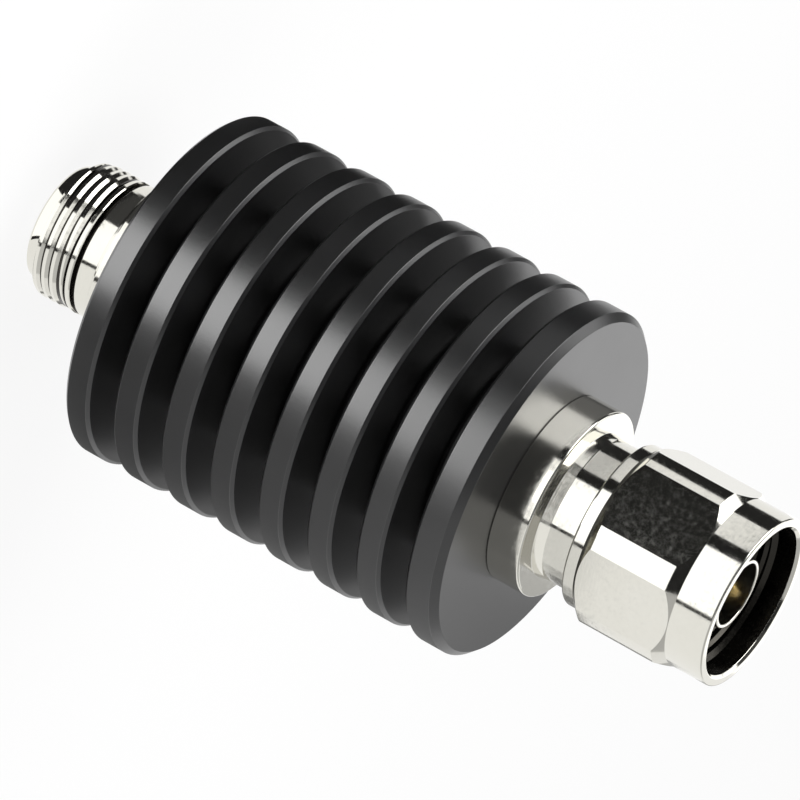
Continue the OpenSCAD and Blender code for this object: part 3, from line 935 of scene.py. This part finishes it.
# %% Ride, replace and paint
HOUSING = "housing"
NUT = "nut"
DRESSED = [
    (heat_sink, HOUSING, "heatsink", "black_anodised"),
    (jack_shell, HOUSING, "jack_body", "nickel_plate"),
    (jack_thread, HOUSING, None, "nickel_plate"),
    (plug_shell, HOUSING, "plug_body", "nickel_plate"),
    (outer_contact, HOUSING, "plug_outer_contact", "nickel_plate"),
    (hex_nut, NUT, "coupling_nut", "nickel_plate"),
    (nut_thread, NUT, None, "nickel_plate"),
]
for piece, body, node, slot in DRESSED:
    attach(piece, body)
    if node:
        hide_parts(node)
slots = {row["node"]: row["material_slot"] for row in frame["record"]["subparts"]}
for name, node in frame["nodes"].items():
    node.data.materials.clear()
    node.data.materials.append(FINISHES[slots[name]])

# %% [markdown]
# ## The studio floor
#
# The floor is white paper. A lit white plane turns grey or blotchy under soft light, so to the camera
# it is mostly plain white, and only part of its look is real light. That keeps a soft shadow. In
# reflections it is plain white.

# %% Lay the floor
FLOOR_HALF = 3000
FLOOR_CORNERS = [(-1, -1), (1, -1), (1, 1), (-1, 1)]
PAPER = (0.88, 0.88, 0.88, 1.0)
WHITE = (1.0, 1.0, 1.0, 1.0)
PLAIN_SHARE = 0.85


def light_path(tree):
    """Wires that are 1 for camera, glossy and transmitted rays."""
    rays = ("Is Camera Ray", "Is Glossy Ray", "Is Transmission Ray")
    return [on_tree(tree).node("ShaderNodeLightPath", output=ray) for ray in rays]


def empty_material(name):
    """Material with an empty node tree; returns both."""
    material = bpy.data.materials.new(name)
    material.use_nodes = True
    material.node_tree.nodes.clear()
    return material, material.node_tree


def floor_material():
    """White paper: mostly plain white to the eye, with some real light so that shadows show."""
    material, tree = empty_material("floor_paper")
    seen, glossy, through = light_path(tree)
    paper = seen.node("ShaderNodeBsdfDiffuse", inputs={"Color": PAPER})
    white = seen.node("ShaderNodeEmission", inputs={"Color": WHITE, "Strength": 1.0})
    share = seen.math("MINIMUM", seen * PLAIN_SHARE + glossy + through, 1.0)
    mixed = seen.node("ShaderNodeMixShader", inputs={0: share, 1: paper, 2: white})
    mixed.node("ShaderNodeOutputMaterial", inputs={"Surface": mixed})
    return material


edge = FLOOR_HALF * MM
floor = mesh_object("floor", [(x * edge, y * edge, 0.0) for x, y in FLOOR_CORNERS], faces=[(0, 1, 2, 3)])
floor.data.materials.append(floor_material())
print("floor is", 2 * edge, "m wide")

# %% [markdown]
# ## Cards for the metal to mirror
#
# Polished metal shows what stands round it, so its look is made of cards, as in a product studio:
# sectors that lie on the floor, sectors of a dome and a wall behind. In a bare white room it would be
# white all over. Only reflections see the cards. Seen from a long way off, a wall of the part that
# faces the angle a from the front mirrors the floor at the angle 2a, the farther out the higher the
# wall stands.

# %% Make a card
CARD_LIFT = 0.06
CARD_STEP = 4
CARD_ROWS = 8
DOME_RADIUS = 1700.0
WALL_DEPTH = 70.0


def card_material(name, level):
    """A card that glows at a plain level, whatever light falls on it."""
    material, tree = empty_material(name)
    glow = on_tree(tree).node("ShaderNodeEmission", inputs={"Color": WHITE, "Strength": level})
    glow.node("ShaderNodeOutputMaterial", inputs={"Surface": glow})
    return material


def on_floor(angle, reach):
    """Point of the floor at an angle from the front in degrees, positive towards +X, and a reach."""
    turn = math.radians(angle)
    return reach * math.sin(turn), -reach * math.cos(turn), CARD_LIFT


def on_dome(angle, rise):
    """Point of the dome at an angle from the front and a rise above the floor, in degrees."""
    turn, lift = math.radians(angle), math.radians(rise)
    level = DOME_RADIUS * math.cos(lift)
    return level * math.sin(turn), -level * math.cos(turn), DOME_RADIUS * math.sin(lift)


def on_wall(across, height):
    """Point of the wall behind the part."""
    return across, WALL_DEPTH, height


def between(ends, count):
    """Evenly spaced values from one end to the other."""
    return [ends[0] + (ends[1] - ends[0]) * step / count for step in range(count + 1)]


def card(where, name, level, first, second):
    """Card over two ranges that where() turns into points; only reflections see it."""
    columns = max(2, math.ceil((first[1] - first[0]) / CARD_STEP))
    corners, faces = [], []
    for across in between(first, columns):
        corners += [Vector(where(across, along)) * MM for along in between(second, CARD_ROWS)]
    for column in range(columns):
        for row in range(CARD_ROWS):
            at = column * (CARD_ROWS + 1) + row
            faces.append((at, at + 1, at + CARD_ROWS + 2, at + CARD_ROWS + 1))
    made = mesh_object(name, corners, faces=faces)
    made.data.materials.append(card_material(name, level))
    made.visible_camera = False
    made.visible_shadow = False
    made.visible_diffuse = False
    return made


print("cards come on:", ", ".join(where.__name__ for where in (on_floor, on_dome, on_wall)))

# %% [markdown]
# Each card has a name, a level, where 1 is white, and two ranges. On the floor these are angles and
# the reach that one part of the object mirrors, in millimetres; on the dome, angles and rises; on the
# wall, places across and heights. White panels stand in front, black flags beside them draw the dark
# streaks, and greys fill the sides.

# %% Set up the cards
LIP_ZONE = (7, 12)
THREAD_ZONE = (12, 24)
COLLAR_ZONE = (24, 40)
FOOT_ZONE = (40, 80)
FIN_ZONE = (80, 192)
NECK_ZONE = (199, 221)
SHADE_ZONE = (199, 214)
LAND_ZONE = (221, 262)
PLUG_ZONE = (192, 2800)
PANEL_ZONE = (192, 300)
DISTANT_ZONE = (300, 2800)
FAR_ZONE = (290, 900)
FLOOR_CARDS = [
    ("lip_panel", 1.4, (-27, 28), LIP_ZONE),
    ("lip_gap", 0.02, (28, 32), LIP_ZONE),
    ("lip_flag", 0.02, (-80, -27), LIP_ZONE),
    ("thread_panel", 1.4, (-16, 31), THREAD_ZONE),
    ("thread_gap", 0.02, (31, 36), THREAD_ZONE),
    ("thread_flag", 0.02, (-92, -16), THREAD_ZONE),
    ("collar_panel", 1.4, (-29, 31), COLLAR_ZONE),
    ("collar_gap", 0.02, (31, 36), COLLAR_ZONE),
    ("collar_flag", 0.05, (-97, -29), COLLAR_ZONE),
    ("foot_panel", 4.0, (-19, 19), FOOT_ZONE),
    ("foot_flag", 0.01, (-144, -19), FOOT_ZONE),
    ("foot_grey", 0.2, (19, 180), FOOT_ZONE),
    ("fin_panel", 4.0, (-19, 19), FIN_ZONE),
    ("fin_flag", 0.02, (-144, -19), FIN_ZONE),
    ("fin_grey", 0.34, (19, 180), FIN_ZONE),
    ("plug_panel", 1.6, (-34, 40), PANEL_ZONE),
    ("distant_grey", 0.55, (-34, 40), DISTANT_ZONE),
    ("plug_gap", 0.02, (40, 45), PLUG_ZONE),
    ("plug_flag", 0.015, (-52, -34), PLUG_ZONE),
    ("plug_back_flag", 0.02, (-126, -94), PLUG_ZONE),
    ("far_flag", 0.02, (-94, -52), FAR_ZONE),
    ("neck_shade", 0.45, (-94, -52), SHADE_ZONE),
    ("neck_light", 0.75, (45, 110), NECK_ZONE),
    ("neck_mid", 0.45, (110, 130), NECK_ZONE),
    ("neck_grey", 0.18, (130, 152), NECK_ZONE),
    ("neck_edge", 0.32, (152, 172), NECK_ZONE),
    ("land_grey", 0.3, (148, 170), LAND_ZONE),
]
DOME_CARDS = [
    ("front_flag", 0.02, (-48, 45), (2, 31.5)),
    ("front_card", 1.2, (-48, 45), (31.5, 37)),
    ("front_high", 0.02, (-48, 45), (37, 78)),
    ("left_box", 4.0, (-102, -48), (10, 42)),
    ("left_high", 0.06, (-180, -48), (42, 78)),
    ("left_edge", 1.6, (-145, -102), (24, 42)),
    ("left_back", 0.02, (-180, -102), (2, 24)),
    ("left_far", 0.05, (-180, -145), (24, 42)),
    ("right_card", 0.6, (45, 98), (8, 30)),
    ("right_high", 0.5, (45, 150), (30, 78)),
    ("right_low", 0.9, (98, 180), (2, 19)),
    ("right_back", 0.5, (98, 180), (19, 30)),
    ("top_card", 0.9, (-180, 180), (80, 90)),
]
WALL_CARDS = [
    ("left_wall", 1.45, (-48, 8), (64, 260)),
    ("right_wall", 0.5, (8, 48), (64, 98)),
    ("high_wall", 1.0, (8, 48), (98, 260)),
]
for where, table in ((on_floor, FLOOR_CARDS), (on_dome, DOME_CARDS), (on_wall, WALL_CARDS)):
    cards = [card(where, *row) for row in table]
    print(f"{where.__name__}: {len(cards)} cards")

# %% [markdown]
# ## World and lamps
#
# The world is white to the eye and in reflections, and softer where it lights the object. Two square
# soft boxes give the matt parts a direction. They are hidden from reflections, where the cards take
# their place. Bare point lamps would be simpler, but they draw hard shadows on the paper.

# %% Light the studio
SKY_LIGHT = 0.55
LAMP_SIZE = 420
LAMPS = [
    ("key_box", (-300, -250, 520), 3.0),
    ("fill_box", (420, -160, 380), 1.2),
]


def studio_world():
    """White to the eye and in reflections, softer where it lights the object."""
    world = bpy.data.worlds.new("studio")
    world.use_nodes = True
    tree = world.node_tree
    tree.nodes.clear()
    seen, glossy, through = light_path(tree)
    level = seen.math("MINIMUM", seen + glossy + through, 1.0)
    strength = level * (1.0 - SKY_LIGHT) + SKY_LIGHT
    sky = seen.node("ShaderNodeBackground", inputs={"Color": WHITE, "Strength": strength})
    sky.node("ShaderNodeOutputWorld", inputs={"Surface": sky})
    return world


def soft_lamp(name, place, power, target):
    """Square soft box aimed at a point, in millimetres; the cards take its place in reflections."""
    data = bpy.data.lights.new(name, "AREA")
    data.shape = "SQUARE"
    data.size = LAMP_SIZE * MM
    data.energy = power
    lamp = placed(name, data)
    aim = (Vector(target) - Vector(place)).to_track_quat("-Z", "Y")
    lamp.matrix_world = Matrix.Translation(Vector(place) * MM) @ aim.to_matrix().to_4x4()
    lamp.visible_glossy = False
    return lamp


bpy.context.scene.world = studio_world()
middle = (0.0, 0.0, (sink_low + sink_high) / 2)
lamps = [soft_lamp(*row, middle) for row in LAMPS]
bpy.context.scene.view_settings.view_transform = "Standard"
print("lamps:", [lamp.name for lamp in lamps])
